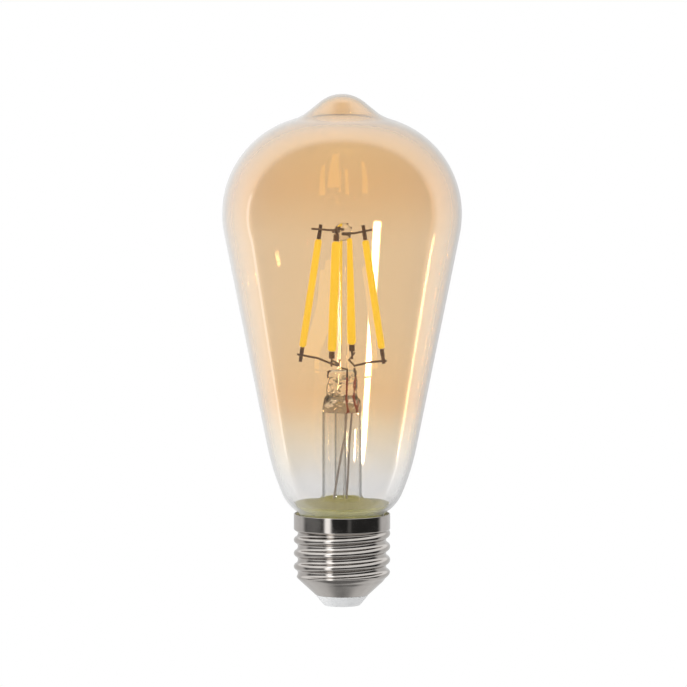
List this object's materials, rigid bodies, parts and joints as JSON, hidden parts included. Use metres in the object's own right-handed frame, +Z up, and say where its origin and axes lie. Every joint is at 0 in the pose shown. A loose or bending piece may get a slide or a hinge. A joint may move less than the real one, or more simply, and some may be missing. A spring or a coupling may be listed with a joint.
{
  "type": "light bulb",
  "caption": "Smart LED filament lamp: tapered amber glass bulb with a pinched tip, upright filaments on a glass stem, and a screw cap that holds the driver.",
  "frame": {"origin": "centre of the centre contact's lower face", "axes": "+Z up the lamp from the cap to the tip, -Y towards the front, +X to the right seen from the front"},
  "size_m": [0.0652, 0.0652, 0.14],
  "materials": {
    "amber_glass": "clear amber tint, fading to clear at the neck",
    "stem_glass": "clear, glossy",
    "support_wire": "dark nickel wire",
    "dumet_wire": "copper red, oxidised",
    "lead_wire": "nickel wire",
    "phosphor_silicone": "satin yellow silicone with phosphor",
    "filament_strip": "matt white",
    "led_chip": "gloss",
    "filament_tab": "satin",
    "nickel_shell": "bright nickel plate, lightly rolled",
    "vitrite": "glossy grey-white",
    "contact_metal": "tinned, satin",
    "cement": "matt",
    "potting": "satin olive silicone",
    "green_board": "satin solder mask",
    "black_package": "matt",
    "capacitor_can": "gloss sleeve",
    "ferrite": "matt",
    "resistor_body": "gloss lacquer",
    "ceramic_chip": "satin",
    "blue_board": "satin solder mask",
    "tinned_shield": "satin tin plate",
    "copper_trace": "satin",
    "live_insulation": "satin sleeve",
    "neutral_insulation": "satin sleeve"
  },
  "bodies": {
    "root": {"glass_envelope": "amber_glass", "stem_tube": "stem_glass", "stem_press": "stem_glass", "exhaust_tube": "stem_glass", "support_rod": "stem_glass", "rod_bead": "stem_glass", "top_bridge_left_front": "support_wire", "top_bridge_right_back": "support_wire", "bottom_bridge_left_front": "support_wire", "bottom_bridge_right_back": "support_wire", "positive_inner_lead": "support_wire", "negative_inner_lead": "support_wire", "positive_dumet_seal": "dumet_wire", "negative_dumet_seal": "dumet_wire", "positive_lead_wire": "lead_wire", "negative_lead_wire": "lead_wire", "left_filament_coating": "phosphor_silicone", "left_filament_strip": "filament_strip", "left_filament_chips": "led_chip", "left_filament_top_tab": "filament_tab", "left_filament_bottom_tab": "filament_tab", "front_filament_coating": "phosphor_silicone", "front_filament_strip": "filament_strip", "front_filament_chips": "led_chip", "front_filament_top_tab": "filament_tab", "front_filament_bottom_tab": "filament_tab", "right_filament_coating": "phosphor_silicone", "right_filament_strip": "filament_strip", "right_filament_chips": "led_chip", "right_filament_top_tab": "filament_tab", "right_filament_bottom_tab": "filament_tab", "back_filament_coating": "phosphor_silicone", "back_filament_strip": "filament_strip", "back_filament_chips": "led_chip", "back_filament_top_tab": "filament_tab", "back_filament_bottom_tab": "filament_tab", "cap_shell": "nickel_shell", "cap_insulator": "vitrite", "centre_contact": "contact_metal", "basing_cement": "cement", "neck_potting": "potting", "driver_board": "green_board", "driver_chip": "black_package", "bridge_rectifier": "black_package", "smoothing_capacitor": "capacitor_can", "inductor": "ferrite", "fuse_resistor": "resistor_body", "ceramic_capacitors": "ceramic_chip", "chip_resistors": "black_package", "wireless_module": "blue_board", "module_shield": "tinned_shield", "module_antenna": "copper_trace", "live_wire": "live_insulation", "neutral_wire": "neutral_insulation"}
  },
  "joints": []
}
